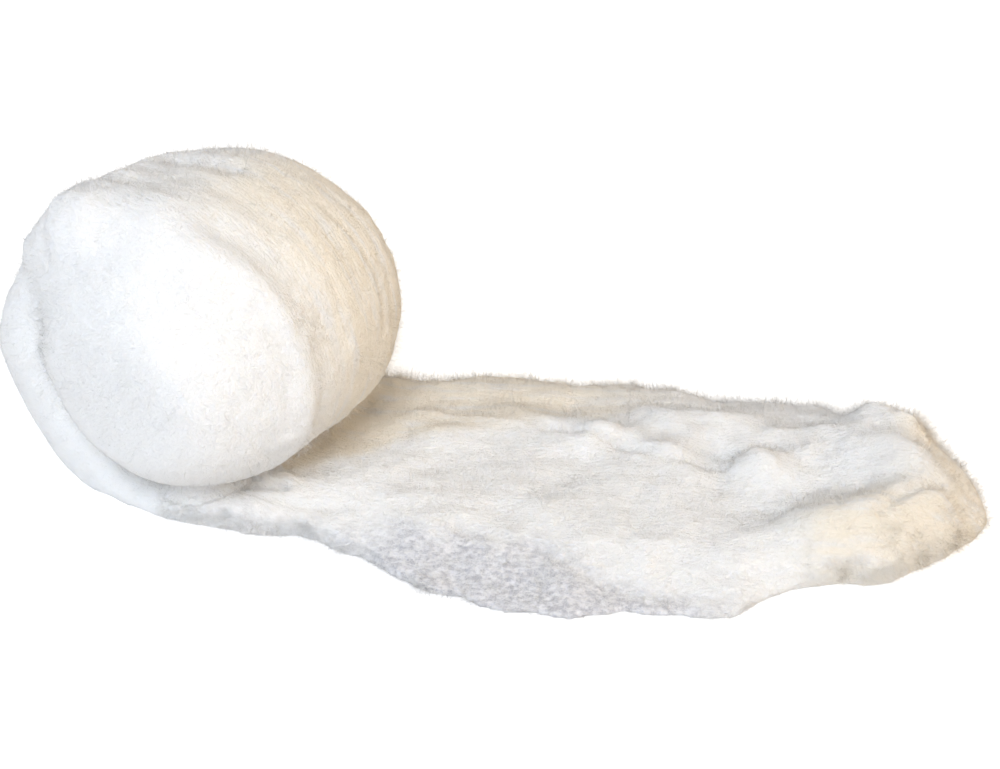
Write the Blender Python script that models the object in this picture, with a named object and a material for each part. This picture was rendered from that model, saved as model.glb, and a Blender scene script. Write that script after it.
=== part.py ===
"""Cotton snow: one strip of soft white batting, still mostly wound in a roll, with its free end pulled out.

Metres, +Z up. The origin is under the middle of the whole piece, on the surface that it lies on. The free
strip runs out towards +X, and the roll's near end faces -X and -Y. The strip is one loft: each section of
the batting is a ring of points. The rings run from the strip's tip to the foot of the roll, once round its
outside and on inwards, turn by turn, to the feathered inner end. The near end is telescoped into a dome."""

import math
from collections import namedtuple

import bmesh
import bpy
from mathutils import Vector

# The batting as it was cut
BATTING_WIDTH = 0.152
LOFT = 0.022
FREE_LENGTH = 0.438

# The roll, wound tight from a feathered inner end and sagging a little under its own weight
EYE_RADIUS = 0.0006
FEATHERED_LOFT = 0.0006
TURNS = 4.46
ROLLED_LOFT = 0.0215
TURN_GAP = 0.0005
ROLL_SAG = 0.036
ROLL_SKEW = math.radians(33)

# Its two ends. At the near one the inner turns have slid far out past the rim and make one big dome. At the
# far one they only bulge, and the rim's edge is drawn in.
NEAR_DOME_HALF_WIDTH = 0.094
NEAR_RIM_HALF_WIDTH = 0.038
NEAR_DOME_POWER = 6.0
NEAR_DRAW_IN = 0.07
FAR_DOME_HALF_WIDTH = 0.089
FAR_RIM_HALF_WIDTH = 0.068
FAR_DOME_POWER = 2.2
FAR_DRAW_IN = 0.26
DRAW_IN_POWER = 3
WOUND_EDGE_ROUNDING = 0.02

# The outermost half turn, which has sprung away from the roll, most of all at its near edge
NEAR_LOOSE_GAP = 0.022
FAR_LOOSE_GAP = 0.006
INNER_LOOSE_SHARE = 0.5
OUTER_LOOSE_ANGLE = math.radians(185)
INNER_LOOSE_ANGLE = math.radians(90)
LOOSE_LEAN = 0.50
NEAR_GRIP_FROM = math.radians(125)
NEAR_GRIP_TO = math.radians(290)
FAR_GRIP_FROM = math.radians(30)
FAR_GRIP_TO = math.radians(180)

# The free strip: how it swings round from the roll and how its tip narrows
SWING_LENGTH = 0.125
FINAL_HEADING = math.radians(-3)
LOFT_RISE = 0.110
SIDE_TAPER = 0.030
NEAR_EDGE_SHARE = 0.45
FAR_EDGE_SHARE = 0.62
FREE_EDGE_ROUNDING = 0.14
NEAR_TIP_LENGTH = 0.105
FAR_TIP_LENGTH = 0.075
NEAR_TIP_NARROWING = 0.018
FAR_TIP_NARROWING = 0.003
TIP_NARROWING_LENGTH = 0.150
TIP_THICKNESS_SHARE = 0.5

# Its near side is drawn in beside the roll, and then pulled out into a thin web
WAIST_DEPTH = 0.025
WAIST_MIDDLE = 0.066
WAIST_LENGTH = 0.090
WEB_REACH = 0.020
WEB_START = 0.085
WEB_FULL = 0.165
WEB_FADE = 0.255
WEB_END = 0.335
WEB_TAPER = 0.050
WEB_THICKNESS_SHARE = 0.16

# Its far side is pulled out wider behind the roll
FLARE_REACH = 0.037
FLARE_MIDDLE = 0.165
FLARE_LENGTH = 0.350

# Ragged sides: height and wavelength of each wave along the strip, with its own start
RAGGED_WAVES = ((0.0028, 0.089, 0.4), (0.0016, 0.041, 1.9), (0.0011, 0.023, 4.1))
FAR_RAGGED_START = 2.6
# Soft rises and hollows of the free strip: height, wavelength along, wavelength across, start
SURFACE_WAVES = ((0.0013, 0.074, 0.061, 0.3), (0.0009, 0.043, 0.038, 2.2))

# Folds and tufts that stand up from the free strip. Each has its start and end as distance from the tip and
# distance from the middle line towards the far side, then its half breadth and its height.
FOLDS = {
    "far_strand": ((0.320, 0.036), (0.225, 0.032), 0.010, 0.0050),
    "strand_tail": ((0.225, 0.032), (0.165, 0.002), 0.009, 0.0055),
    "upper_strand": ((0.170, 0.055), (0.085, 0.036), 0.011, 0.0065),
    "middle_tuft": ((0.135, 0.012), (0.120, 0.010), 0.013, 0.0100),
    "far_tuft": ((0.188, 0.046), (0.172, 0.036), 0.010, 0.0060),
    "end_ridge": ((0.100, -0.052), (0.042, -0.030), 0.026, 0.0180),
    "end_tuft": ((0.075, 0.026), (0.050, 0.010), 0.022, 0.0160),
    "end_peak": ((0.058, 0.056), (0.042, 0.044), 0.015, 0.0210),
    "front_hollow": ((0.160, -0.034), (0.118, -0.014), 0.013, -0.0050),
    "tuft_hollow": ((0.157, 0.020), (0.152, 0.006), 0.009, -0.0045),
    "end_crease": ((0.090, -0.018), (0.040, -0.004), 0.006, -0.0050),
}

# How finely the loft is divided
STEPS_PER_TURN = 26
STRIP_STATIONS = 48
TIP_CROWDING = 1.15
LAST_STATION_SHARE = 0.9985
ACROSS = 13
# The batting's edge: how far each point draws back, as a share of the rounding, and its share of the depth
EDGE_ARC = ((0.40, 0.05), (0.04, 0.27), (0.04, 0.73), (0.40, 0.95))

COTTON_WHITE = (0.93, 0.93, 0.91, 1.0)
COTTON_ROUGHNESS = 0.95

PITCH = ROLLED_LOFT / (1 - ROLL_SAG) + TURN_GAP
ROLL_RADIUS = EYE_RADIUS + FEATHERED_LOFT + TURNS * PITCH
RIM_RADIUS = ROLL_RADIUS - PITCH * 0.75
ROLL_HEIGHT = ROLL_RADIUS * (1 - ROLL_SAG)
HALF_WIDTH = BATTING_WIDTH / 2
UP = Vector((0, 0, 1))

End = namedtuple("End", "dome rim power draw_in")
NEAR_END = End(NEAR_DOME_HALF_WIDTH, NEAR_RIM_HALF_WIDTH, NEAR_DOME_POWER, NEAR_DRAW_IN)
FAR_END = End(FAR_DOME_HALF_WIDTH, FAR_RIM_HALF_WIDTH, FAR_DOME_POWER, FAR_DRAW_IN)


def smooth(low, high, value):
    """0 below low, 1 above high, and an even S curve between them."""
    t = min(max((value - low) / (high - low), 0), 1)
    return t * t * (3 - 2 * t)


def bump(middle, length, value):
    """A soft hump that is 1 at its middle and has mostly gone half its length away."""
    return math.exp(-((value - middle) / (length / 2)) ** 2)


def mix(a, b, share):
    return a + (b - a) * share


def strip_heading(along):
    return mix(-ROLL_SKEW, FINAL_HEADING, smooth(0, SWING_LENGTH, along))


def heading_vectors(heading):
    """The level direction at this heading, and the level direction across it, towards the far side."""
    along = Vector((math.cos(heading), math.sin(heading), 0))
    return along, Vector((-math.sin(heading), math.cos(heading), 0))


def ragged(distance, start):
    return sum(height * math.sin(math.tau * distance / length + phase + start)
               for height, length, phase in RAGGED_WAVES)


def tip_roundness(from_tip, tip_length):
    """Share of the strip's half width that is left this far from the tip."""
    reach = min(max(from_tip / tip_length, 0), 1)
    return math.sqrt(1 - (1 - reach) ** 2)


def web_share(along):
    return smooth(WEB_START, WEB_FULL, along) * smooth(WEB_END, WEB_FADE, along)


def half_widths(along):
    """How far the free strip reaches to its near and far side, at a distance along it from the roll."""
    from_tip = FREE_LENGTH - along
    loose = smooth(0, LOFT_RISE, along)
    narrowing = smooth(TIP_NARROWING_LENGTH, 0, from_tip)
    waist = WAIST_DEPTH * bump(WAIST_MIDDLE, WAIST_LENGTH, along)
    flare = FLARE_REACH * bump(FLARE_MIDDLE, FLARE_LENGTH, along)
    near = HALF_WIDTH - waist + WEB_REACH * web_share(along) - NEAR_TIP_NARROWING * narrowing
    far = HALF_WIDTH + flare - FAR_TIP_NARROWING * narrowing
    return ((near + loose * ragged(along, 0)) * tip_roundness(from_tip, NEAR_TIP_LENGTH),
            (far + loose * ragged(along, FAR_RAGGED_START)) * tip_roundness(from_tip, FAR_TIP_LENGTH))


def fold_height(from_tip, across):
    """Height that the folds and tufts add to the free strip at one place."""
    total = 0
    for start, end, breadth, height in FOLDS.values():
        a, b, p = Vector(start), Vector(end), Vector((from_tip, across))
        span = b - a
        share = min(max((p - a).dot(span) / span.length_squared, 0), 1)
        distance = (p - a - span * share).length
        total += height * math.exp(-((distance / breadth) ** 2))
    return total


def free_thickness(along, across, near, far):
    """Thickness of the free strip at one place, thin at its sides and tip."""
    from_tip = FREE_LENGTH - along
    risen = smooth(0, LOFT_RISE, along)
    web = web_share(along)
    near_edge = mix(NEAR_EDGE_SHARE, WEB_THICKNESS_SHARE, web)
    near_share = mix(near_edge, 1, smooth(0, mix(SIDE_TAPER, WEB_TAPER, web), near + across))
    far_share = mix(FAR_EDGE_SHARE, 1, smooth(0, SIDE_TAPER, far - across))
    side_share = mix(1, near_share * far_share, risen)
    waves = sum(height * math.sin(math.tau * along / length + start)
                * math.cos(math.tau * across / breadth + start)
                for height, length, breadth, start in SURFACE_WAVES)
    body = mix(ROLLED_LOFT, LOFT, risen) + risen * (waves + fold_height(from_tip, across))
    return body * side_share * mix(TIP_THICKNESS_SHARE, 1, tip_roundness(from_tip, FAR_TIP_LENGTH))


def section(rounding):
    """(share of the half width, share of the depth) of each point round one section of the batting.

    It runs along the outer face, up the far side, back along the inner face and down the near side."""
    flat = [(1 - rounding) * (2 * i / (ACROSS - 1) - 1) for i in range(ACROSS)]
    side = [(1 - rounding * back, depth) for back, depth in EDGE_ARC]
    points = [(share, 0) for share in flat] + side
    return points + [(-share, 1 - depth) for share, depth in points]


def strip_rings():
    """Sections of the free strip, from the roll's foot to the tip, with the foot at the origin."""
    rings = []
    place = Vector((0, 0, 0))
    previous = 0
    for i in range(STRIP_STATIONS + 1):
        along = FREE_LENGTH * (1 - (1 - i / STRIP_STATIONS) ** TIP_CROWDING)
        middle = (along + previous) / 2
        place = place + heading_vectors(strip_heading(middle))[0] * (along - previous)
        previous = along
        near, far = half_widths(min(along, FREE_LENGTH * LAST_STATION_SHARE))
        across = heading_vectors(strip_heading(along))[1]
        ring = []
        for share, depth in section(FREE_EDGE_ROUNDING):
            offset = share * (far if share > 0 else near)
            ring.append(place + across * offset + UP * depth * free_thickness(along, offset, near, far))
        rings.append(ring)
    return rings


def wound_reach(radius, side):
    """How far the batting reaches to one side at this radius, where it is wound tight."""
    share = min(max(radius / RIM_RADIUS, 0), 1)
    return side.dome - (side.dome - side.rim) * share ** side.power


def drawn_radius(radius, offset, side, grip):
    """The radius at this distance from the middle, drawn in towards the rim's edge."""
    pull = side.draw_in * (radius / RIM_RADIUS) * abs(offset / HALF_WIDTH) ** DRAW_IN_POWER
    return radius * (1 - pull * grip)


def slack(angle, share, depth):
    """How far the outermost half turn stands off the roll, at shares of its width and of its depth."""
    gap = mix(NEAR_LOOSE_GAP, FAR_LOOSE_GAP, (share + 1) / 2) * mix(1, INNER_LOOSE_SHARE, depth)
    reach = mix(OUTER_LOOSE_ANGLE, INNER_LOOSE_ANGLE, depth)
    return gap * math.sin(math.pi * min(angle / reach, 1) ** LOOSE_LEAN) ** 2


def roll_rings():
    """Sections of the wound part, from the roll's foot round its left side and inwards to the eye."""
    forward, across = heading_vectors(-ROLL_SKEW)
    centre = UP * ROLL_HEIGHT
    near_foot, far_foot = half_widths(0)
    rings = []
    for i in range(1, round(TURNS * STEPS_PER_TURN) + 1):
        angle = i * math.tau / STEPS_PER_TURN
        inward = forward * math.sin(angle) + UP * math.cos(angle)
        oval = 1 - ROLL_SAG * math.cos(2 * angle)
        near_grip = smooth(NEAR_GRIP_FROM, NEAR_GRIP_TO, angle)
        far_grip = smooth(FAR_GRIP_FROM, FAR_GRIP_TO, angle)
        outer = ROLL_RADIUS - PITCH * angle / math.tau
        thickness = min(ROLLED_LOFT, outer - EYE_RADIUS)
        ring = []
        for share, depth in section(mix(FREE_EDGE_ROUNDING, WOUND_EDGE_ROUNDING, near_grip)):
            radius = outer - depth * thickness
            if share > 0:
                side, grip, foot = FAR_END, far_grip, far_foot
            else:
                side, grip, foot = NEAR_END, near_grip, near_foot
            offset = share * mix(foot, wound_reach(radius, side), grip)
            distance = drawn_radius(radius, offset, side, grip) * oval + slack(angle, share, depth)
            point = centre - inward * distance + across * offset
            point.z = max(point.z, 0)
            ring.append(point)
        rings.append(ring)
    return rings


def loft(name, rings):
    """One closed mesh through all rings, with its two ends filled."""
    bm = bmesh.new()
    rows = [[bm.verts.new(p) for p in ring] for ring in rings]
    count = len(rings[0])
    for row, after in zip(rows, rows[1:]):
        for i in range(count):
            j = (i + 1) % count
            bm.faces.new((row[i], row[j], after[j], after[i]))
    for row in (rows[0], rows[-1]):
        fill_section(bm, row)
    bmesh.ops.recalc_face_normals(bm, faces=bm.faces)
    mesh = bpy.data.meshes.new(name)
    bm.to_mesh(mesh)
    bm.free()
    return mesh


def fill_section(bm, row):
    """Closes one end with quads between the outer and the inner face."""
    half = len(EDGE_ARC) // 2
    outer = row[-half:] + row[:ACROSS + half]
    inner = row[-half - 1:ACROSS + half - 1:-1]
    for i in range(len(outer) - 1):
        bm.faces.new((outer[i], outer[i + 1], inner[i + 1], inner[i]))


def stand_on_base(mesh):
    """Moves the mesh so that the middle of its box's underside is the origin."""
    xs, ys = [v.co.x for v in mesh.vertices], [v.co.y for v in mesh.vertices]
    middle = Vector(((min(xs) + max(xs)) / 2, (min(ys) + max(ys)) / 2, 0))
    for vertex in mesh.vertices:
        vertex.co -= middle
    return middle


def cotton():
    material = bpy.data.materials.new("cotton")
    material.use_nodes = True
    shader = material.node_tree.nodes["Principled BSDF"]
    shader.inputs["Base Color"].default_value = COTTON_WHITE
    shader.inputs["Roughness"].default_value = COTTON_ROUGHNESS
    return material


def main():
    for obj in list(bpy.data.objects):
        bpy.data.objects.remove(obj)
    rings = list(reversed(strip_rings())) + roll_rings()
    mesh = loft("cotton_batting", rings)
    middle = stand_on_base(mesh)
    mesh.materials.append(cotton())
    mesh.shade_smooth()
    batting = bpy.data.objects.new("cotton_batting", mesh)
    bpy.context.scene.collection.objects.link(batting)
    print("roll radius", round(ROLL_RADIUS, 4), "foot of the roll at", [round(-c, 4) for c in middle])


main()
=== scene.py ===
# %% [markdown]
# # Cotton snow: a strip of batting, still mostly wound in a roll
#
# The real thing is one long strip of loose white fibre, wound up with its free end pulled out over the
# bench. The imported CAD part already has its form: the turns, the domed ends, the loose outer turn and the
# torn sides. This file gives it what makes it cotton: turns that blend softly, combed streaks, a web greyed
# with painted shade where it was pulled thin, painted warm shade and light in places, and thousands of stray
# fibres. Sizes are in metres.

# %% The imported frame
import math

import bmesh
import bpy
import numpy as np
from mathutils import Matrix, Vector


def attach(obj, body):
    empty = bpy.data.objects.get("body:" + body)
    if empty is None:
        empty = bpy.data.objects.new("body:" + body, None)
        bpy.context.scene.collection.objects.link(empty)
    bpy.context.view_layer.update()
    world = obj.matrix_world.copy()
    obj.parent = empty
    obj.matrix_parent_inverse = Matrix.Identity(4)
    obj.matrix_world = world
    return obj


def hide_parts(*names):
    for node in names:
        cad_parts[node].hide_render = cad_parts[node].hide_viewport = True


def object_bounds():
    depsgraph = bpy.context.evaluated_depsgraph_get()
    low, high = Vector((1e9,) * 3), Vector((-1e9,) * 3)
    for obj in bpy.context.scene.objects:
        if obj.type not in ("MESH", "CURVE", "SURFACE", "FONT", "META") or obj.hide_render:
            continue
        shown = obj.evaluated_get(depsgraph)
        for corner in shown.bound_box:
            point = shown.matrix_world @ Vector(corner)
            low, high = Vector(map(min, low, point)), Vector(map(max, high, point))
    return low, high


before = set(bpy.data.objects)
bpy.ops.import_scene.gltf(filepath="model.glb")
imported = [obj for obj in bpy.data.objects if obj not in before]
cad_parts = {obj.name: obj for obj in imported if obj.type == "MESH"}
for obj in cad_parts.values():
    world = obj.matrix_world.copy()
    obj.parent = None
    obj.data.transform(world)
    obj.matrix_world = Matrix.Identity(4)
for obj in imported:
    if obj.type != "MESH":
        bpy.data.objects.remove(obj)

cad_box = [list(corner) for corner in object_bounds()]
bpy.ops.object.select_all(action="DESELECT")
print("CAD box", cad_box)

# %% [markdown]
# ## Where the roll and the strip lie
#
# Fibre in batting is combed: it runs along the strip, and so round the roll. To comb streaks and stray
# fibres the right way, each point of the surface needs a place *along* the batting and a place *across* it.
# The part's own sizes say where the roll's axis is and how the free strip swings away from it, so both can
# be worked out.

# %% Named sizes of the roll and the strip
ROLL_FOOT = np.array([-0.1484, 0.0109, 0.0])
ROLL_HEADING = math.radians(-33)
AXIS_HEIGHT = 0.0992
OUTER_RADIUS = 0.1029
TURN_PITCH = 0.0228
ROLL_SAG = 0.036
FREE_LENGTH = 0.438
SWING_LENGTH = 0.125
FINAL_HEADING = math.radians(-3)
STATIONS = 220

roll_forward = np.array([math.cos(ROLL_HEADING), math.sin(ROLL_HEADING), 0.0])
roll_across = np.array([-math.sin(ROLL_HEADING), math.cos(ROLL_HEADING), 0.0])
print("roll axis points", roll_across)


# %% Helpers: soft steps and soft noise
def soft_step(low, high, value):
    """0 below low, 1 above high, with an even curve between. low may be the larger one."""
    t = np.clip((value - low) / (high - low), 0, 1)
    return t * t * (3 - 2 * t)


def soft_noise(points, seed):
    """Smooth noise between -1 and 1 for each point, with about one lump to each unit of length."""
    cell = np.floor(points).astype(np.int64)
    t = points - cell
    t = t * t * (3 - 2 * t)
    total = np.zeros(len(points))
    for corner in range(8):
        step = np.array([corner & 1, corner >> 1 & 1, corner >> 2 & 1])
        key = (cell + step) @ np.array([73856093, 19349663, 83492791]) + seed * 7919
        key = ((key ^ (key >> 13)) * 1274126177) & 0x7FFFFFFF
        key = ((key ^ (key >> 15)) * 668265263) & 0x7FFFFFFF
        weight = np.prod(np.where(step == 1, t, 1 - t), axis=1)
        total += weight * (((key >> 7) & 0xFFFF) / 32767.5 - 1)
    return total


def unit(vectors):
    """The same directions with a length of one each."""
    return vectors / np.maximum(np.linalg.norm(vectors, axis=1, keepdims=True), 1e-9)


# %% The strip's middle line
station_along = np.linspace(0, FREE_LENGTH, STATIONS)
swing = soft_step(0, SWING_LENGTH, station_along)
station_heading = ROLL_HEADING + (FINAL_HEADING - ROLL_HEADING) * swing
level = np.zeros(STATIONS)
station_direction = np.column_stack((np.cos(station_heading), np.sin(station_heading), level))
station_across = np.column_stack((-np.sin(station_heading), np.cos(station_heading), level))
station_step = np.vstack((np.zeros(3), station_direction[1:] * (station_along[1] - station_along[0])))
station_place = ROLL_FOOT + np.cumsum(station_step, axis=0)
print("strip tip at", station_place[-1])

# %% Places along and across the batting
SURFACE_MARGIN = 0.006
STRIP_HEIGHT = 0.012
BATCH = 20000


def roll_places(points):
    """(angle turned from the foot, distance from the axis, distance across towards the far end)."""
    rel = points - ROLL_FOOT
    forward, up = rel @ roll_forward, points[:, 2] - AXIS_HEIGHT
    return np.arctan2(-forward, -up) % math.tau, np.hypot(forward, up), rel @ roll_across


def strip_places(points):
    """(distance along the free strip, distance across it towards the far side, number of the station)."""
    nearest = np.empty(len(points), dtype=int)
    for start in range(0, len(points), BATCH):
        part = points[start:start + BATCH, None, :2] - station_place[None, :, :2]
        nearest[start:start + BATCH] = np.argmin((part ** 2).sum(axis=2), axis=1)
    rel = points - station_place[nearest]
    along = station_along[nearest] + (rel * station_direction[nearest]).sum(axis=1)
    return along, (rel * station_across[nearest]).sum(axis=1), nearest


def on_strip(points):
    """True where a point belongs to the free strip and not to the wound roll."""
    turned, out, _ = roll_places(points)
    wound = (OUTER_RADIUS - TURN_PITCH * turned / math.tau) * (1 - ROLL_SAG * np.cos(2 * turned))
    ahead = (points - ROLL_FOOT) @ roll_forward > 0
    return ahead & ((out > wound + SURFACE_MARGIN) | (points[:, 2] < STRIP_HEIGHT))


print("strip leaves the roll at", station_place[0])

# %% [markdown]
# ## The batting as one soft skin
#
# In the CAD part each turn is its own sharp-edged layer with a small gap. In the real roll the fibres of
# neighbouring turns cling together, so the near end looks like one soft ball of snow. A voxel remesh melts
# the turns together and gives small even faces, which the finer shapes need. Sculpting would do it too, but
# a remesh keeps the sizes of the frame and comes out the same on every run.

# %% A merged, remeshed copy of the CAD batting
VOXEL = 0.0020

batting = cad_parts["cotton_batting"].copy()
batting.data = batting.data.copy()
batting.name = batting.data.name = "cotton_batting_skin"
bpy.context.scene.collection.objects.link(batting)
batting.data.materials.clear()

bm = bmesh.new()
bm.from_mesh(batting.data)
bmesh.ops.remove_doubles(bm, verts=bm.verts, dist=1e-6)
bm.to_mesh(batting.data)
bm.free()

remesh = batting.modifiers.new("remesh", "REMESH")
remesh.mode = "VOXEL"
remesh.voxel_size = VOXEL
bpy.context.view_layer.objects.active = batting
bpy.ops.object.modifier_apply(modifier="remesh")
print("remeshed batting", len(batting.data.vertices), "points")


# %% Only the outer skin is kept
def keep_largest_shell(mesh):
    """Deletes every closed shell but the one with the most points."""
    bm = bmesh.new()
    bm.from_mesh(mesh)
    unseen, shells = set(bm.verts), []
    while unseen:
        front = [unseen.pop()]
        shell = list(front)
        while front:
            vertex = front.pop()
            for edge in vertex.link_edges:
                other = edge.other_vert(vertex)
                if other in unseen:
                    unseen.remove(other)
                    front.append(other)
                    shell.append(other)
        shells.append(shell)
    shells.sort(key=len)
    for shell in shells[:-1]:
        bmesh.ops.delete(bm, geom=shell, context="VERTS")
    bm.to_mesh(mesh)
    bm.free()
    return len(shells)


print("shells found", keep_largest_shell(batting.data), "points kept", len(batting.data.vertices))

# %% [markdown]
# ## Soft blending
#
# The edges of real turns cling to each other and round off, so nothing on the roll has a sharp step.
# Relaxing does that: it moves every point a little towards the middle of its neighbours. A few rounds take
# the voxel steps off everywhere. Many more are spent on the near end, where the turns' edges should melt
# into one dome. A smooth modifier works too, but here each region needs its own number of rounds, and a
# region fades out softly.


# %% Relaxing
def mesh_points(mesh):
    points = np.empty(len(mesh.vertices) * 3)
    mesh.vertices.foreach_get("co", points)
    return points.reshape(-1, 3)


def mesh_normals(mesh):
    normals = np.empty(len(mesh.vertices) * 3, dtype=np.float32)
    mesh.vertex_normals.foreach_get("vector", normals)
    return normals.reshape(-1, 3).astype(float)


def put_points(mesh, points):
    mesh.vertices.foreach_set("co", points.ravel())
    mesh.update()


def relaxed(points, edges, share, rounds):
    """The points after some rounds of moving each one its share of the way to its neighbours' middle."""
    a, b = edges[:, 0], edges[:, 1]
    count = np.bincount(a, minlength=len(points)) + np.bincount(b, minlength=len(points))
    for _ in range(rounds):
        middle = np.empty_like(points)
        for axis in range(3):
            middle[:, axis] = (np.bincount(a, points[b, axis], len(points))
                               + np.bincount(b, points[a, axis], len(points))) / count
        points = points + share[:, None] * (middle - points)
    return points


edges = np.empty(len(batting.data.edges) * 2, dtype=np.int32)
batting.data.edges.foreach_get("vertices", edges)
edges = edges.reshape(-1, 2)
print("edges to relax along", len(edges))

# %% The turns melt into one dome
# Each region fades in from the first value of its pairs to the second.
NEAR_END_ACROSS = (-0.036, -0.052)
NEAR_END_ABOVE = (0.004, 0.014)
WOUND_SIDE_OUT = (0.060, 0.080)
WOUND_SIDE_ABOVE = (0.012, 0.030)
UPPER_LEFT_FROM = (1.6, 2.0)
UPPER_LEFT_TO = (3.7, 3.2)
EYE_OUT = (0.045, 0.025)
HALF_WAY = 0.5
OVER_HALF_WAY = 0.6
ROUNDS_ALL_OVER = 4
ROUNDS_WOUND_SIDE = 80
ROUNDS_NEAR_END = 90
ROUNDS_EYE_AND_RIM = 250

points = mesh_points(batting.data)
strip = on_strip(points)
turned, out, across = roll_places(points)
height = points[:, 2]
near_end = np.where(strip, 0, soft_step(*NEAR_END_ACROSS, across)) * soft_step(*NEAR_END_ABOVE, height)
wound_side = np.where(strip, 0, soft_step(*WOUND_SIDE_OUT, out)) * soft_step(*WOUND_SIDE_ABOVE, height)
upper_left = soft_step(*UPPER_LEFT_FROM, turned) * soft_step(*UPPER_LEFT_TO, turned)
eye = soft_step(*EYE_OUT, out)
points = relaxed(points, edges, np.full(len(points), HALF_WAY), ROUNDS_ALL_OVER)
points = relaxed(points, edges, HALF_WAY * wound_side, ROUNDS_WOUND_SIDE)
points = relaxed(points, edges, OVER_HALF_WAY * near_end, ROUNDS_NEAR_END)
points = relaxed(points, edges, OVER_HALF_WAY * near_end * np.maximum(upper_left, eye), ROUNDS_EYE_AND_RIM)
put_points(batting.data, points)
print("near end relaxed over", int((near_end > 0.5).sum()), "points")

# %% [markdown]
# ## The roll's foot, the strip's sides and its puffed end
#
# Where the strip comes out from under the dome, loose fibre fills the corner. Relaxing fills a hollow and
# wears down a ridge alike, so only the points that it would raise are moved there. The strip's sides and
# its puffed end are relaxed a little too, as they are torn and soft. Its folds are left as they are.

# %% Foot, sides and end
FOOT_CORNER_ACROSS = -0.070
FOOT_NEAR = (0.065, 0.035)
FOOT_ABOVE = (0.0, 0.003)
RAISED_BY = (0.0, 0.0006)
ROUNDS_FOOT_FILLED = 260
ROUNDS_FOOT_SMOOTHED = 12
SIDE_FACE_SLOPE = (0.85, 0.5)
UPPER_FACE_SLOPE = (0.30, 0.70)
PUFFED_END_ALONG = (0.285, 0.315)
PUFFED_END_SIDE = (0.020, -0.005)
ROUNDS_SIDES = 12
ROUNDS_PUFFED_END = 36

foot_corner = ROLL_FOOT + FOOT_CORNER_ACROSS * roll_across
foot = soft_step(*FOOT_NEAR, np.linalg.norm(points - foot_corner, axis=1))
foot = foot * soft_step(*FOOT_ABOVE, points[:, 2])
filled = relaxed(points, edges, OVER_HALF_WAY * foot, ROUNDS_FOOT_FILLED)
rise = ((filled - points) * mesh_normals(batting.data)).sum(axis=1)
points = points + soft_step(*RAISED_BY, rise)[:, None] * (filled - points)
points = relaxed(points, edges, HALF_WAY * foot, ROUNDS_FOOT_SMOOTHED)
put_points(batting.data, points)

along, side, _ = strip_places(points)
slope = mesh_normals(batting.data)[:, 2]
side_face = strip * soft_step(*SIDE_FACE_SLOPE, np.abs(slope))
upper_face = soft_step(*UPPER_FACE_SLOPE, slope)
puffed_end = strip * soft_step(*PUFFED_END_ALONG, along) * soft_step(*PUFFED_END_SIDE, side)
points = relaxed(points, edges, HALF_WAY * np.maximum(side_face, puffed_end), ROUNDS_SIDES)
points = relaxed(points, edges, HALF_WAY * puffed_end * upper_face, ROUNDS_PUFFED_END)
points[:, 2] = np.maximum(points[:, 2], 0)
put_points(batting.data, points)
print("hollow at the foot filled by up to", round(float(rise.max()) * 1000, 1), "mm")

# %% [markdown]
# ## Folds of the free strip
#
# Pulling the strip open left long folds, a pit, a few bumps and some fine lines where layers meet. The
# solid has the large ones. Each one here is a path over the strip, given as places along and across it,
# with a half breadth and a height. Drawing them with a sculpt brush would work too, but paths can be read,
# moved and repeated.

# %% Paths of folds, bumps and lines
STRIP_PATHS = {
    "thin ridge": (((0.105, 0.052), (0.143, 0.045), (0.170, 0.040)), 0.004, 0.0022),
    "white fold": (((0.170, 0.052), (0.205, 0.046), (0.235, 0.033), (0.262, 0.014)), 0.009, 0.0040),
    "line under the fold": (((0.185, 0.037), (0.217, 0.029), (0.255, 0.012), (0.290, 0.009)), 0.0035, -0.0030),
    "channel behind the fold": (((0.060, 0.060), (0.120, 0.074), (0.220, 0.072)), 0.013, -0.0025),
    "pit": (((0.288, 0.024), (0.296, 0.018)), 0.008, -0.0050),
    "bump": (((0.303, 0.012), (0.309, 0.006)), 0.010, 0.0050),
    "far bump": (((0.245, 0.062), (0.262, 0.050)), 0.008, 0.0030),
    "next far bump": (((0.275, 0.055), (0.300, 0.045)), 0.007, 0.0025),
    "bump before the end": (((0.320, 0.035), (0.335, 0.020)), 0.008, 0.0030),
    "end valley": (((0.358, 0.043), (0.350, 0.022)), 0.008, -0.0035),
    "end crease": (((0.366, -0.043), (0.379, -0.028), (0.404, -0.010)), 0.004, -0.0040),
    "left crease": (((0.312, -0.034), (0.340, -0.008)), 0.006, -0.0015),
    "knob": (((0.385, 0.022), (0.395, 0.012)), 0.016, 0.0050),
    "end pillow": (((0.350, -0.052), (0.378, -0.047), (0.402, -0.036)), 0.017, 0.0035),
    "low line": (((0.284, -0.073), (0.302, -0.071), (0.326, -0.059)), 0.003, -0.0015),
    "web line": (((0.140, -0.049), (0.186, -0.062), (0.222, -0.080), (0.245, -0.082)), 0.0035, -0.0020),
    "web streak": (((0.075, -0.063), (0.119, -0.080), (0.150, -0.094)), 0.007, 0.0015),
    "near line": (((0.030, -0.046), (0.054, -0.041), (0.078, -0.037)), 0.0025, -0.0015),
    "slit under the roll": (((0.012, -0.050), (0.050, -0.032)), 0.0025, -0.0040),
    "second slit": (((0.022, -0.020), (0.052, -0.018)), 0.003, -0.0030),
    "lump between the slits": (((0.020, -0.036), (0.048, -0.026)), 0.006, 0.0025),
}
UPWARD_SLOPE = (0.2, 0.6)


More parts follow.
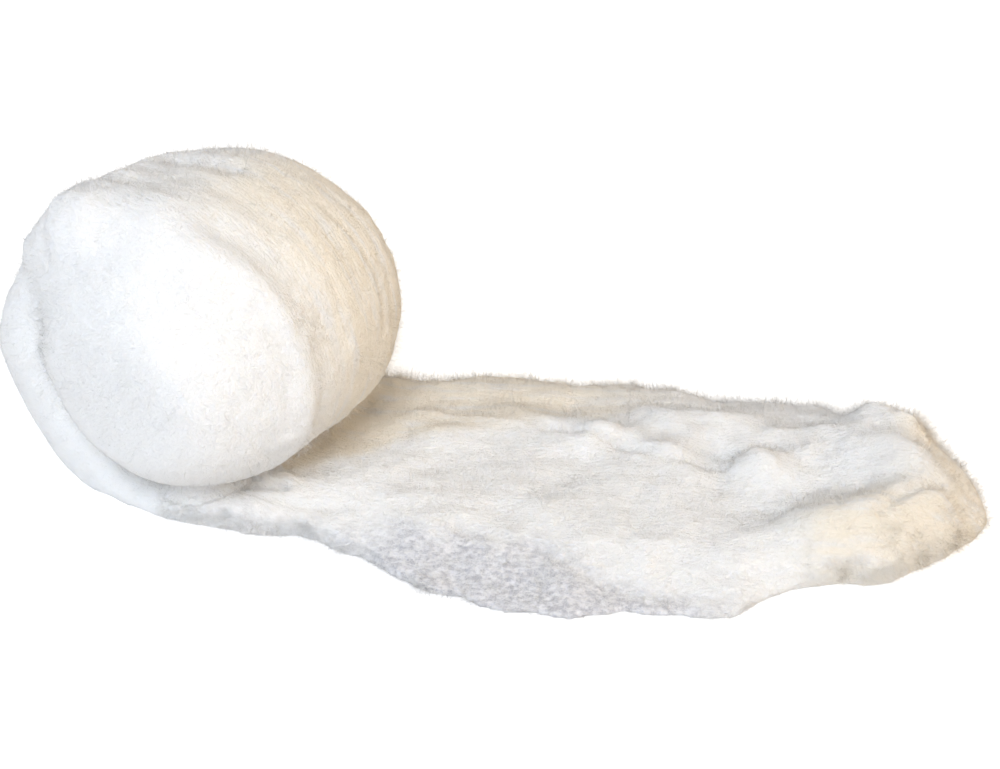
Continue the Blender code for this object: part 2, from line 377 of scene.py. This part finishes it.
def path_height(places, path, breadth, height):
    """Height that one path adds at each (along, across) place."""
    nearest = np.full(len(places), np.inf)
    for start, end in zip(path, path[1:]):
        start, span = np.array(start), np.array(end) - np.array(start)
        share = np.clip((places - start) @ span / (span @ span), 0, 1)
        nearest = np.minimum(nearest, np.linalg.norm(places - start - share[:, None] * span, axis=1))
    return height * np.exp(-((nearest / breadth) ** 2))


points, normals = mesh_points(batting.data), mesh_normals(batting.data)
strip = on_strip(points)
along, side, _ = strip_places(points)
places = np.column_stack((along, side))
folds = sum(path_height(places, *path) for path in STRIP_PATHS.values())
points[:, 2] += folds * soft_step(*UPWARD_SLOPE, normals[:, 2]) * strip
put_points(batting.data, points)
print("folds from", round(float(folds.min()) * 1000, 1), "to", round(float(folds.max()) * 1000, 1), "mm")

# %% [markdown]
# ## Puffs and layer lines of the roll
#
# The upper left of the near end is lumpy, where the outer turn puffs up against the dome. A soft valley
# runs round the right of the dome, just outside its shoulder, and fine lines near the far end show where
# one layer ends. They are the same kind of paths, but laid round the roll: the angle turned from the foot
# in degrees, and the place across.

# %% Paths round the roll
ROLL_PATHS = {
    "top puff": (((160, -0.045), (182, -0.040)), 0.022, 0.0050),
    "upper left puff": (((147, -0.062), (154, -0.058)), 0.016, 0.0060),
    "left puff": (((124, -0.062), (130, -0.062)), 0.013, 0.0040),
    "upper left rim": (((141, -0.045), (146, -0.020), (142, 0.020)), 0.016, 0.0055),
    "rim tuft": (((146, -0.060), (145, -0.052)), 0.010, 0.0010),
    "bulge of the loose turn": (((46, -0.068), (62, -0.067), (78, -0.066)), 0.020, 0.0055),
    "valley behind the top puff": (((150, 0.012), (182, 0.014)), 0.008, -0.0035),
    "valley at the shoulder": (((203, -0.034), (221, -0.025), (249, -0.018), (282, -0.026)), 0.008, -0.0018),
    "shoulder": (((198, -0.050), (221, -0.041), (249, -0.034), (285, -0.042)), 0.009, 0.0020),
    "second ridge": (((222, -0.004), (249, 0.002), (265, 0.000)), 0.007, 0.0015),
    "layer line": (((212, 0.031), (233, 0.036), (249, 0.037), (268, 0.032)), 0.0025, -0.0014),
    "far layer line": (((205, 0.046), (235, 0.050), (262, 0.047)), 0.0025, -0.0008),
}
MIDDLE_RADIUS = 0.09
OUTER_SKIN_OUT = (0.060, 0.072)

turned, out, across = roll_places(points)
places = np.column_stack((turned * MIDDLE_RADIUS, across))
rolled = np.zeros(len(points))
for path, breadth, height in ROLL_PATHS.values():
    laid = [(math.radians(angle) * MIDDLE_RADIUS, place) for angle, place in path]
    rolled += path_height(places, laid, breadth, height)
outer_skin = np.where(strip, 0, soft_step(*OUTER_SKIN_OUT, out))
points = points + normals * (rolled * outer_skin)[:, None]
put_points(batting.data, points)
print("roll puffs up to", round(float(rolled.max()) * 1000, 1), "mm")

# %% [markdown]
# ## Puffs, streaks and lumps all over
#
# The surface is never even. Big soft puffs come from how the batting was packed, long low streaks from the
# combing, and small lumps from knots of fibre. Noise makes all three. The streaks are noise that is
# stretched along the batting, so they follow the strip and wrap round the roll; on the dome they become
# faint rings. A displacement modifier could use a texture for this, but moving the points in code keeps the
# stretch true on both.

# %% Where the grain runs
DOME_FACING = (0.35, 0.8)
DOME_ACROSS = (-0.03, -0.045)
TORN_SIDE_SLOPE = (0.8, 0.4)
TORN_SIDE_ALONG = (0.33, 0.27)

points, normals = mesh_points(batting.data), mesh_normals(batting.data)
strip = on_strip(points)
turned, out, across = roll_places(points)
along, side, _ = strip_places(points)
strip_grain = np.column_stack((along, side, points[:, 2]))
roll_grain = np.column_stack((-turned * MIDDLE_RADIUS, across, AXIS_HEIGHT - out))
grain = np.where(strip[:, None], strip_grain, roll_grain)
facing_near = np.clip(-(normals @ roll_across), 0, 1)
dome = np.where(strip, 0, soft_step(*DOME_FACING, facing_near) * soft_step(*DOME_ACROSS, across))
torn = soft_step(*TORN_SIDE_SLOPE, np.abs(normals[:, 2])) * soft_step(*TORN_SIDE_ALONG, along)
side_face = np.where(strip, torn, 0)
print("dome covers", int((dome > 0.5).sum()), "points")

# %% Displacement
# A span is the size of one lump of noise, or its sizes along, across and through the batting.
PUFF_HEIGHT = 0.0014
STREAK_HEIGHT = 0.0008
LUMP_HEIGHT = 0.0005
PUFF_SPANS = (0.045, 0.021)
STREAK_SPANS = (np.array([0.060, 0.009, 0.05]), np.array([0.035, 0.0045, 0.05]))
RING_SPAN = 0.011
LUMP_SPANS = (0.0075, 0.0045)
FINER_PUFFS = 0.5
FINER_STREAKS = 0.5
FINER_LUMPS = 0.7
RINGS_ON_DOME = 0.4
SMOOTHER_DOME = 0.6
RAGGED_SIDE = 4.0
LYING_BELOW = (0.0, 0.004)

puffs = soft_noise(points / PUFF_SPANS[0], 1) + FINER_PUFFS * soft_noise(points / PUFF_SPANS[1], 2)
streaks = soft_noise(grain / STREAK_SPANS[0], 3) + FINER_STREAKS * soft_noise(grain / STREAK_SPANS[1], 4)
rings = soft_noise(np.column_stack((2 * np.cos(turned), 2 * np.sin(turned), out / RING_SPAN)), 5)
lumps = soft_noise(points / LUMP_SPANS[0], 6) + FINER_LUMPS * soft_noise(points / LUMP_SPANS[1], 7)
raised = PUFF_HEIGHT * puffs + STREAK_HEIGHT * (streaks * (1 - dome) + RINGS_ON_DOME * rings * dome)
raised += LUMP_HEIGHT * lumps * (1 - SMOOTHER_DOME * dome) * (1 + (RAGGED_SIDE - 1) * side_face)

lying = soft_step(*LYING_BELOW, points[:, 2])
points = points + normals * (raised * lying)[:, None]
points[:, 2] = np.maximum(points[:, 2], 0)
put_points(batting.data, points)
batting.data.shade_smooth()
print("surface moved by up to", round(float(np.abs(raised).max()) * 1000, 2), "mm")

# %% [markdown]
# ## The thin web and the painted shade
#
# The near side of the strip was pulled so thin that it greys: its grey is painted shade, the web's shadow on
# the bench seen through the thin fibre. The cream at the right of the roll, on the strip behind it and at the
# puffed end is painted warm shade and light: the roll's shaded side, its shadow on the strip, and the end
# where the warm lamps fall. Both could be painted by hand. Here each is a share between 0 and 1 for every
# point, worked out from its place on the batting and stored as an attribute, so the material and the stray
# fibres can read the same borders.


# %% How thin the batting is
def strip_noise(along, side, along_span, side_span, seed):
    """Noise over the flat of the strip, with one span along it and one across it."""
    return soft_noise(np.column_stack((along / along_span, side / side_span, side * 0)), seed)


WEB_BORDER_ALONG = (0.000, 0.060, 0.145, 0.186, 0.223, 0.270)
WEB_BORDER_SIDE = (0.060, 0.050, 0.050, 0.060, 0.076, 0.090)
WEB_BEGINS = (0.000, 0.080)
WEB_ENDS = (0.330, 0.245)


def thin_web(points, strip):
    """1 where the batting's near side was pulled into a thin web, with a soft inner border."""
    along, side, _ = strip_places(points)
    border = np.interp(along, WEB_BORDER_ALONG, WEB_BORDER_SIDE)
    border = border + 0.005 * strip_noise(along, side, 0.016, 0.012, 9)
    border = border + 0.004 * strip_noise(along, side, 0.007, 0.004, 10)
    length = soft_step(*WEB_BEGINS, along) * soft_step(*WEB_ENDS, along)
    return np.where(strip, length * soft_step(border - 0.010, border + 0.014, -side), 0)


web = thin_web(points, strip)
print("web covers", int((web > 0.5).sum()), "points")

# %% Where warm shade and light are painted
# Painted warm shade and light: the roll's shadow on the strip behind it, the roll's shaded right side, and the
# puffed end where the warm lamps fall.
ROLL_SHADOW_BORDER_ALONG = (0.020, 0.040, 0.095, 0.190, 0.250)
ROLL_SHADOW_BORDER_SIDE = (-0.035, -0.020, 0.020, 0.045, 0.060)
ROLL_SHADOW_ENDS = (0.300, 0.180)
WARM_LIT_END = ((0.345, -0.052), (0.375, -0.046), (0.405, -0.034))
WARM_LIT_END_BREADTH = 0.024
WARM_LIT_TIP = ((0.425, -0.015), (0.425, 0.010), (0.405, 0.035))
WARM_LIT_TIP_BREADTH = 0.016
SHADED_SIDE_FROM = (math.radians(150), math.radians(205))
SHADED_SIDE_TO = (math.radians(345), math.radians(300))
SHADED_SIDE_ACROSS = (-0.045, 0.010)


def warm_shade_share(points, strip):
    """Share of painted warm shade and light: the roll's shaded right side, its shadow on the strip, the puffed
    end.
    """
    turned, _, across = roll_places(points)
    along, side, _ = strip_places(points)
    on_roll = soft_step(*SHADED_SIDE_FROM, turned) * soft_step(*SHADED_SIDE_TO, turned)
    on_roll = on_roll * soft_step(*SHADED_SIDE_ACROSS, across)
    border = np.interp(along, ROLL_SHADOW_BORDER_ALONG, ROLL_SHADOW_BORDER_SIDE)
    border = border + 0.004 * strip_noise(along, side, 0.020, 0.012, 12)
    behind = soft_step(border - 0.006, border + 0.010, side) * soft_step(*ROLL_SHADOW_ENDS, along)
    places = np.column_stack((along, side))
    end = path_height(places, WARM_LIT_END, WARM_LIT_END_BREADTH, 1.0)
    tip = path_height(places, WARM_LIT_TIP, WARM_LIT_TIP_BREADTH, 1.0)
    return np.where(strip, np.clip(behind + (end + tip), 0, 1), on_roll)


# The share of painted warm shade and light at each point.
warm_shade = warm_shade_share(points, strip)
print("cream covers", int((warm_shade > 0.5).sum()), "points")


# %% Attributes that carry the grain and both shares to the material
def put_attribute(mesh, name, kind, values):
    layer = mesh.attributes.new(name, kind, "POINT")
    field = "vector" if kind == "FLOAT_VECTOR" else "value"
    layer.data.foreach_set(field, np.asarray(values, dtype=float).ravel())


put_attribute(batting.data, "grain", "FLOAT_VECTOR", grain)
put_attribute(batting.data, "web", "FLOAT", web)
put_attribute(batting.data, "combed", "FLOAT", 1 - dome)
# This one carries the painted warm shade and light.
put_attribute(batting.data, "warm_shade", "FLOAT", warm_shade)
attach(batting, "root")
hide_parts("cotton_batting")
print("skin carries", [layer.name for layer in batting.data.attributes if not layer.name.startswith(".")])

# %% [markdown]
# ## Stray fibres
#
# Without stray fibres cotton looks like plaster. Each fibre here is a narrow curved ribbon of three short
# pieces that ends in a point. Hair curves would be lighter to make, but a ribbon is a real mesh, so it
# survives the export. The fibres are sown over the skin by area, thicker at the torn sides and on the web,
# and combed along the batting with some disorder.

# %% The skin as triangles, for sowing
skin = batting.data
skin.calc_loop_triangles()
triangles = np.empty(len(skin.loop_triangles) * 3, dtype=np.int32)
skin.loop_triangles.foreach_get("vertices", triangles)
triangles = triangles.reshape(-1, 3)
skin_points, skin_normals = mesh_points(skin), mesh_normals(skin)
corners = skin_points[triangles]
triangle_cross = np.cross(corners[:, 1] - corners[:, 0], corners[:, 2] - corners[:, 0])
triangle_area = np.linalg.norm(triangle_cross, axis=1) / 2
triangle_middle = corners.mean(axis=1)
print("skin area", round(float(triangle_area.sum()), 4), "square metres in", len(triangles), "triangles")

# %% One crop of fibres
STAND_PROUD = 0.0075
BENCH_GAP = 0.0002
ROOT_DEPTH = 0.0004
RIBBON_PIECES = 3
RIBBON_WIDTHS = (1, 0.9, 0.65, 0)
RIBBON_POINTS = 7
LYING_LIFT = 0.7

lowest = np.array(cad_box[0]) - STAND_PROUD
lowest[2] = BENCH_GAP
highest = np.array(cad_box[1]) + STAND_PROUD


def comb_direction(points, normals):
    """The level way that the fibre is combed at each point: along the strip, and round the roll."""
    turned, _, _ = roll_places(points)
    ahead, up = (-np.cos(turned))[:, None], np.sin(turned)[:, None]
    round_roll = ahead * roll_forward + up * np.array([0.0, 0.0, 1.0])
    _, _, station = strip_places(points)
    comb = np.where(on_strip(points)[:, None], station_direction[station], round_roll)
    comb = comb - normals * (comb * normals).sum(axis=1)[:, None]
    return unit(comb + 1e-6)


def ribbon_mesh(name, rows):
    """Ribbons of two quads and a tip each, from the left and right points of their four rows."""
    spots = np.stack([*rows[0], *rows[1], *rows[2], rows[3][0]], axis=1)
    start = np.arange(len(spots))[:, None] * RIBBON_POINTS
    quads = (start + np.array([[0, 1, 3, 2]])).tolist() + (start + np.array([[2, 3, 5, 4]])).tolist()
    tips = (start + np.array([[4, 5, 6]])).tolist()
    mesh = bpy.data.meshes.new(name)
    mesh.from_pydata(spots.reshape(-1, 3), [], quads + tips)
    mesh.shade_smooth()
    return mesh


def sow_fibres(name, density, count, length, lift, droop, disorder, width, seed):
    """A crop of curved ribbons that stand out from the skin. density is a weight for each triangle.

    lift is the angle from the skin at the root, droop how much it falls at each piece, and disorder the
    spread round the combed direction, all in radians.
    """
    rng = np.random.default_rng(seed)
    chance = triangle_area * density
    chosen = rng.choice(len(triangles), size=count, p=chance / chance.sum())
    a, b = rng.random(count), rng.random(count)
    flip = a + b > 1
    a, b = np.where(flip, 1 - a, a), np.where(flip, 1 - b, b)
    shares = np.column_stack((1 - a - b, a, b))
    base = (skin_points[triangles[chosen]] * shares[:, :, None]).sum(axis=1)
    normal = unit((skin_normals[triangles[chosen]] * shares[:, :, None]).sum(axis=1))
    comb = comb_direction(base, normal)
    cross = np.cross(normal, comb)
    reach = length * np.exp(rng.normal(0, 0.45, count)) / RIBBON_PIECES
    yaw = rng.normal(0, disorder, count) + np.where(rng.random(count) < 0.5, 0, math.pi)
    pitch = np.abs(rng.normal(lift, 0.35, count))
    turn, drop = rng.normal(0, 0.7, count), rng.normal(-droop, 0.45, count)
    tilt = np.clip(rng.normal(0, 0.6, count), -1.2, 1.2)
    place = base - normal * ROOT_DEPTH
    rows = []
    for step, share in enumerate(RIBBON_WIDTHS):
        heading = yaw + turn * step
        climb = pitch + drop * step
        flat_way = comb * np.cos(heading)[:, None] + cross * np.sin(heading)[:, None]
        direction = flat_way * np.cos(climb)[:, None] + normal * np.sin(climb)[:, None]
        flat = unit(np.cross(direction, normal))
        flat = flat * np.cos(tilt)[:, None] + np.cross(direction, flat) * np.sin(tilt)[:, None]
        half = flat * (width * share / 2)
        rows.append((place - half, place + half))
        place = place + direction * reach[:, None]
        place = np.clip(place, lowest, highest)
    mesh = ribbon_mesh(name, rows)
    # The fibres take the painted warm shade and light of the skin at their roots.
    put_attribute(mesh, "warm_shade", "FLOAT", np.repeat(warm_shade_share(base, on_strip(base)), RIBBON_POINTS))
    # Lying fibres are lit like the skin below them, and upright ones like ribbons of their own.
    skin_share = 2.0 * max(0.0, LYING_LIFT - lift)
    lit_as = unit(skin_share * normal + unit(np.cross(flat, direction)))
    mesh.normals_split_custom_set_from_vertices(np.repeat(lit_as, RIBBON_POINTS, axis=0))
    piece = bpy.data.objects.new(name, mesh)
    bpy.context.scene.collection.objects.link(piece)
    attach(piece, "root")
    print(name, count, "fibres", count * 5, "triangles")
    return piece


# %% How thickly each part of the skin is sown
LEAST_TUFT = 0.08
UNDERSIDE = (-0.3, 0.1)
STEEP = (0.75, 0.2)
FAR_SIDE_FROM = 0.03

middle_on_strip = on_strip(triangle_middle)
middle_web = thin_web(triangle_middle, middle_on_strip)
_, middle_side, _ = strip_places(triangle_middle)
_, _, middle_across = roll_places(triangle_middle)
middle_normal = unit(triangle_cross)
upward = soft_step(*UNDERSIDE, middle_normal[:, 2])
steep = soft_step(*STEEP, middle_normal[:, 2])
tufts = np.clip(0.45 + 0.9 * soft_noise(triangle_middle / 0.006, 21), LEAST_TUFT, 1) ** 2
on_dome = soft_step(*DOME_FACING, -(middle_normal @ roll_across)) * soft_step(*DOME_ACROSS, middle_across)

roll_density = np.where(middle_on_strip, 0, upward + 0.25) * (0.3 + tufts)
strip_density = np.where(middle_on_strip, upward, 0) * (0.3 + tufts)
roll_fuzz_density = np.where(middle_on_strip, 0, 1 - 0.6 * on_dome)
strip_fuzz_density = np.where(middle_on_strip, upward * (0.7 + 1.5 * steep), 0)
edge_density = np.where(middle_on_strip, steep * upward, 0) * (0.2 + tufts)
far_density = np.where(middle_on_strip & (middle_side > FAR_SIDE_FROM), steep * upward, 0) * (0.7 + tufts)
web_density = (middle_web + 0.02 * strip_density) * (0.2 + tufts)
print("triangles of the strip", int(middle_on_strip.sum()), "and of the roll", int((~middle_on_strip).sum()))

# %% The crops
crops = [
    sow_fibres("combed_fibres_roll", roll_density, count=29000, length=0.0060, lift=0.40, droop=0.25,
               disorder=0.8, width=0.00010, seed=11),
    sow_fibres("combed_fibres_strip", strip_density, count=29000, length=0.0060, lift=0.35, droop=0.25,
               disorder=0.9, width=0.00010, seed=12),
    sow_fibres("fuzz_roll", roll_fuzz_density, count=30000, length=0.0065, lift=1.00, droop=0.10,
               disorder=1.5, width=0.00008, seed=15),
    sow_fibres("fuzz_strip", strip_fuzz_density, count=33000, length=0.0060, lift=0.95, droop=0.15,
               disorder=1.5, width=0.00008, seed=16),
    sow_fibres("stray_fibres_sides", edge_density, count=10000, length=0.0095, lift=0.80, droop=0.10,
               disorder=1.2, width=0.00008, seed=13),
    sow_fibres("stray_fibres_far_side", far_density, count=16000, length=0.0100, lift=0.80, droop=0.05,
               disorder=1.2, width=0.00006, seed=17),
    sow_fibres("stray_fibres_web", web_density, count=9000, length=0.0065, lift=0.50, droop=0.20,
               disorder=1.5, width=0.00010, seed=14),
]

# %% [markdown]
# ## The look of cotton
#
# Cotton is near white and quite matt. Light goes a little way into the fibre and comes out again, which
# softens shadows, so the material has some subsurface. Fine hairs in the bump follow the grain attribute,
# and small knots lie all over. The thin web gets painted shade, grey and blotchy, and the warm parts get
# painted warm shade and light. A photograph of cotton as a texture would repeat and stretch; noise on the
# grain does neither. A group holds the tint, as the skin and the stray fibres share it.

# %% Node helpers
COTTON = (0.93, 0.93, 0.92, 1.0)
STREAK_SHADE = (0.87, 0.87, 0.865, 1.0)
# Painted warm shade and light, where the warm lamps fall in the shade of the cool ones.
WARM_SHADE = (0.915, 0.855, 0.75, 1.0)
# The web's two colours are painted shade: its shadow on the bench, seen through the thin fibre.
WEB_PALE_SHADE = (0.86, 0.86, 0.89, 1.0)
WEB_DEEP_SHADE = (0.52, 0.52, 0.555, 1.0)

# A mix node has a pair of inputs for each kind of value. These are the places of the colours.
MIX_FIRST, MIX_SECOND, MIX_RESULT = 6, 7, 2


def add_node(tree, kind, **settings):
    node = tree.nodes.new(kind)
    for key, value in settings.items():
        setattr(node, key, value)
    return node


def mix_colour(tree, factor, first, second):
    """A colour mix. first and second are sockets or colours. Gives the output socket."""
    node = add_node(tree, "ShaderNodeMix", data_type="RGBA")
    tree.links.new(factor, node.inputs["Factor"])
    for place, value in ((MIX_FIRST, first), (MIX_SECOND, second)):
        if isinstance(value, tuple):
            node.inputs[place].default_value = value
        else:
            tree.links.new(value, node.inputs[place])
    return node.outputs[MIX_RESULT]


def stretched(tree, vector, scale):
    """Coordinates made finer by a scale for each axis."""
    node = add_node(tree, "ShaderNodeMapping")
    node.inputs["Scale"].default_value = scale
    tree.links.new(vector, node.inputs["Vector"])
    return node.outputs["Vector"]


def noise(tree, vector, scale, detail, roughness=0.5, distortion=0.0):
    node = add_node(tree, "ShaderNodeTexNoise")
    node.inputs["Scale"].default_value = scale
    node.inputs["Detail"].default_value = detail
    node.inputs["Roughness"].default_value = roughness
    node.inputs["Distortion"].default_value = distortion
    tree.links.new(vector, node.inputs["Vector"])
    return node.outputs["Fac"]


def spread(tree, value, low, high, to_low=0.0, to_high=1.0):
    """The value, with low to high spread over to_low to to_high."""
    node = add_node(tree, "ShaderNodeMapRange")
    node.inputs["From Min"].default_value = low
    node.inputs["From Max"].default_value = high
    node.inputs["To Min"].default_value = to_low
    node.inputs["To Max"].default_value = to_high
    tree.links.new(value, node.inputs["Value"])
    return node.outputs["Result"]


def combined(tree, operation, *values):
    """One maths node over two or three sockets."""
    node = add_node(tree, "ShaderNodeMath", operation=operation)
    for socket, value in zip(node.inputs, values):
        tree.links.new(value, socket)
    return node.outputs[0]


print("cotton is", COTTON[:3], "and cream", WARM_SHADE[:3])

# %% The shared tint
STREAK_SCALE = (22, 150, 60)
BLOTCH_SCALE = (260, 420, 300)

tint_group = bpy.data.node_groups.new("cotton_tint", "ShaderNodeTree")
tint_group.interface.new_socket("Grain", in_out="INPUT", socket_type="NodeSocketVector")
# The last input carries the painted warm shade and light.
for socket_name in ("Web", "Combed", "Warm_shade"):
    tint_group.interface.new_socket(socket_name, in_out="INPUT", socket_type="NodeSocketFloat")
tint_group.interface.new_socket("Color", in_out="OUTPUT", socket_type="NodeSocketColor")
entry = add_node(tint_group, "NodeGroupInput").outputs
leave = add_node(tint_group, "NodeGroupOutput").inputs

streak_noise = noise(tint_group, stretched(tint_group, entry["Grain"], STREAK_SCALE), 1.0, 3.0)
streak_share = combined(tint_group, "MULTIPLY", spread(tint_group, streak_noise, 0.5, 0.75), entry["Combed"])
blotch_noise = noise(tint_group, stretched(tint_group, entry["Grain"], BLOTCH_SCALE), 1.0, 6.0, 0.65)
# Painted warm shade and light over the cotton's own colour.
warm_shaded = mix_colour(tint_group, entry["Warm_shade"], COTTON, WARM_SHADE)
plain = mix_colour(tint_group, streak_share, warm_shaded, STREAK_SHADE)
# Painted shade on the thin web, in blotches.
blotched = mix_colour(tint_group, spread(tint_group, blotch_noise, 0.40, 0.60), WEB_PALE_SHADE, WEB_DEEP_SHADE)
tint_group.links.new(mix_colour(tint_group, entry["Web"], plain, blotched), leave["Color"])
print("tint group has", len(tint_group.nodes), "nodes")

# %% The two cotton materials
SCATTER_RADIUS = (0.0035, 0.0032, 0.0028)
HAIR_SCALE = (190, 620, 300)
KNOT_SCALE = 520.0
HAIR_HEIGHT = 0.0016
BUMP_STRENGTH = 0.9


def cotton_material(name, subsurface):
    """Matt white cotton with the shared tint. Gives the material and its attribute nodes by name."""
    material = bpy.data.materials.new(name)
    material.use_nodes = True
    tree = material.node_tree
    shader = tree.nodes["Principled BSDF"].inputs
    shader["Roughness"].default_value = 0.95
    shader["Specular IOR Level"].default_value = 0.1
    shader["Sheen Weight"].default_value = 0.15
    shader["Sheen Roughness"].default_value = 0.6
    shader["Subsurface Weight"].default_value = subsurface
    shader["Subsurface Radius"].default_value = SCATTER_RADIUS
    shader["Subsurface Scale"].default_value = 1.0
    tint = add_node(tree, "ShaderNodeGroup", node_tree=tint_group)
    carried = {}
    # The last attribute carries the painted warm shade and light.
    for attribute in ("grain", "web", "combed", "warm_shade"):
        node = add_node(tree, "ShaderNodeAttribute", attribute_name=attribute)
        carried[attribute] = node.outputs["Vector" if attribute == "grain" else "Fac"]
        tree.links.new(carried[attribute], tint.inputs[attribute.capitalize()])
    tree.links.new(tint.outputs["Color"], shader["Base Color"])
    return material, carried


def add_hairs(material, carried):
    """A bump of fine hairs along the grain, where the batting is combed, over small knots."""
    tree = material.node_tree
    hairs = noise(tree, stretched(tree, carried["grain"], HAIR_SCALE), 1.0, 5.0)
    place = add_node(tree, "ShaderNodeTexCoord").outputs["Object"]
    knots = noise(tree, place, KNOT_SCALE, 5.0, 0.70, 0.8)
    bump = add_node(tree, "ShaderNodeBump")
    bump.inputs["Strength"].default_value = BUMP_STRENGTH
    bump.inputs["Distance"].default_value = HAIR_HEIGHT
    tree.links.new(combined(tree, "MULTIPLY_ADD", hairs, carried["combed"], knots), bump.inputs["Height"])
    tree.links.new(bump.outputs["Normal"], tree.nodes["Principled BSDF"].inputs["Normal"])


skin_cotton, skin_carried = cotton_material("cotton_skin", 0.4)
add_hairs(skin_cotton, skin_carried)
fibre_cotton, _ = cotton_material("cotton_fibre", 0.0)
batting.data.materials.append(skin_cotton)
for piece in crops:
    piece.data.materials.append(fibre_cotton)
print("materials", skin_cotton.name, fibre_cotton.name)

# %% [markdown]
# ## The bench and the white round it
#
# The piece lies on a plain pale bench. To the camera the bench and the room read as white, which could be
# had from very strong lamps, but those would burn out the cotton too. Instead both glow only for rays that
# the camera sees, straight or in a mirror or through glass. All other light meets a plain grey bench and a
# dim room, so the object keeps its soft shadow.

# %% Bench
BENCH_GREY = 0.80
BENCH_SIZE = 12
GLOW_NEAR, GLOW_FAR = 0.7, 1.0
GLOW_FROM, GLOW_TO = 0.5, 2.5

bpy.ops.mesh.primitive_plane_add(size=BENCH_SIZE, location=(0, 0, 0))
bench = bpy.context.object
bench.name = "bench"
bench_paint = bpy.data.materials.new("bench_paint")
bench_paint.use_nodes = True
bench_tree = bench_paint.node_tree
bench_shader = bench_tree.nodes["Principled BSDF"].inputs
bench_shader["Base Color"].default_value = (BENCH_GREY, BENCH_GREY, BENCH_GREY, 1)
bench_shader["Roughness"].default_value = 0.9
bench_shader["Specular IOR Level"].default_value = 0.0
bench_shader["Emission Color"].default_value = (1, 1, 1, 1)


def looked_at(tree):
    """1 where the camera sees a surface straight, in a shiny thing or through a clear one, or else 0."""
    path = add_node(tree, "ShaderNodeLightPath").outputs
    straight_or_shiny = combined(tree, "MAXIMUM", path["Is Camera Ray"], path["Is Glossy Ray"])
    return combined(tree, "MAXIMUM", straight_or_shiny, path["Is Transmission Ray"])


bench_place = add_node(bench_tree, "ShaderNodeTexCoord").outputs["Object"]
far_away = add_node(bench_tree, "ShaderNodeVectorMath", operation="LENGTH")
bench_tree.links.new(bench_place, far_away.inputs[0])
glow = spread(bench_tree, far_away.outputs["Value"], GLOW_FROM, GLOW_TO, GLOW_NEAR, GLOW_FAR)
seen_glow = combined(bench_tree, "MULTIPLY", looked_at(bench_tree), glow)
bench_tree.links.new(seen_glow, bench_shader["Emission Strength"])
bench.data.materials.append(bench_paint)
print("bench", tuple(bench.dimensions))

# %% World
WORLD_LIGHT = (0.37, 0.352, 0.33, 1.0)

world = bpy.data.worlds.new("studio")
world.use_nodes = True
bpy.context.scene.world = world
world_tree = world.node_tree
dim = world_tree.nodes["Background"]
dim.inputs["Color"].default_value = WORLD_LIGHT
bright = add_node(world_tree, "ShaderNodeBackground")
bright.inputs["Color"].default_value = (1, 1, 1, 1)
choose = add_node(world_tree, "ShaderNodeMixShader")
world_tree.links.new(looked_at(world_tree), choose.inputs["Fac"])
world_tree.links.new(dim.outputs["Background"], choose.inputs[1])
world_tree.links.new(bright.outputs["Background"], choose.inputs[2])
world_tree.links.new(choose.outputs["Shader"], world_tree.nodes["World Output"].inputs["Surface"])
print("world light", WORLD_LIGHT[:3])

# %% [markdown]
# ## Lamps and camera
#
# A big soft cool lamp stands high in front, so the near end is the brightest part and the roll shades the
# strip behind it. A weak cool one low at the left keeps the loose outer turn light. Two warm ones at the
# right give the side of the roll and the strip their cream tone. Smaller lamps would draw hard shadows that
# the photo doesn't have. The camera looks down from the photo's angle.


# %% Lamps
def soft_lamp(name, place, power, colour):
    lamp = bpy.data.lights.new(name, "AREA")
    lamp.shape = "DISK"
    lamp.size = LAMP_SIZE
    lamp.energy = power
    lamp.color = colour
    holder = bpy.data.objects.new(name, lamp)
    holder.location = place
    holder.rotation_euler = (Vector(place) - Vector(LAMP_AIM)).to_track_quat("Z", "Y").to_euler()
    bpy.context.scene.collection.objects.link(holder)
    print(name, place, power)


LAMP_AIM = (-0.05, 0.0, 0.05)
LAMP_SIZE = 1.2

soft_lamp("front_lamp", (-0.2, -1.6, 1.85), 46, (0.83, 0.90, 1.0))
soft_lamp("window_lamp", (-1.9, -1.7, 0.8), 9, (0.80, 0.89, 1.0))
soft_lamp("room_lamp", (1.6, -0.6, 1.8), 11, (1.0, 0.74, 0.45))
soft_lamp("low_room_lamp", (2.1, -0.9, 0.8), 9, (1.0, 0.60, 0.15))

# %% Camera
CAMERA_AIM = Vector((0.0036, 0.0469, 0.03))
CAMERA_DISTANCE = 0.85
CAMERA_ELEVATION = math.radians(34)

camera_data = bpy.data.cameras.new("camera")
camera_data.lens = 50
camera_data.sensor_width = 36
camera = bpy.data.objects.new("camera", camera_data)
back = Vector((0, -math.cos(CAMERA_ELEVATION), math.sin(CAMERA_ELEVATION)))
camera.location = CAMERA_AIM + back * CAMERA_DISTANCE
camera.rotation_euler = back.to_track_quat("Z", "Y").to_euler()
bpy.context.scene.collection.objects.link(camera)
bpy.context.scene.camera = camera
bpy.context.scene.view_settings.view_transform = "Standard"
print("camera at", tuple(round(c, 3) for c in camera.location))
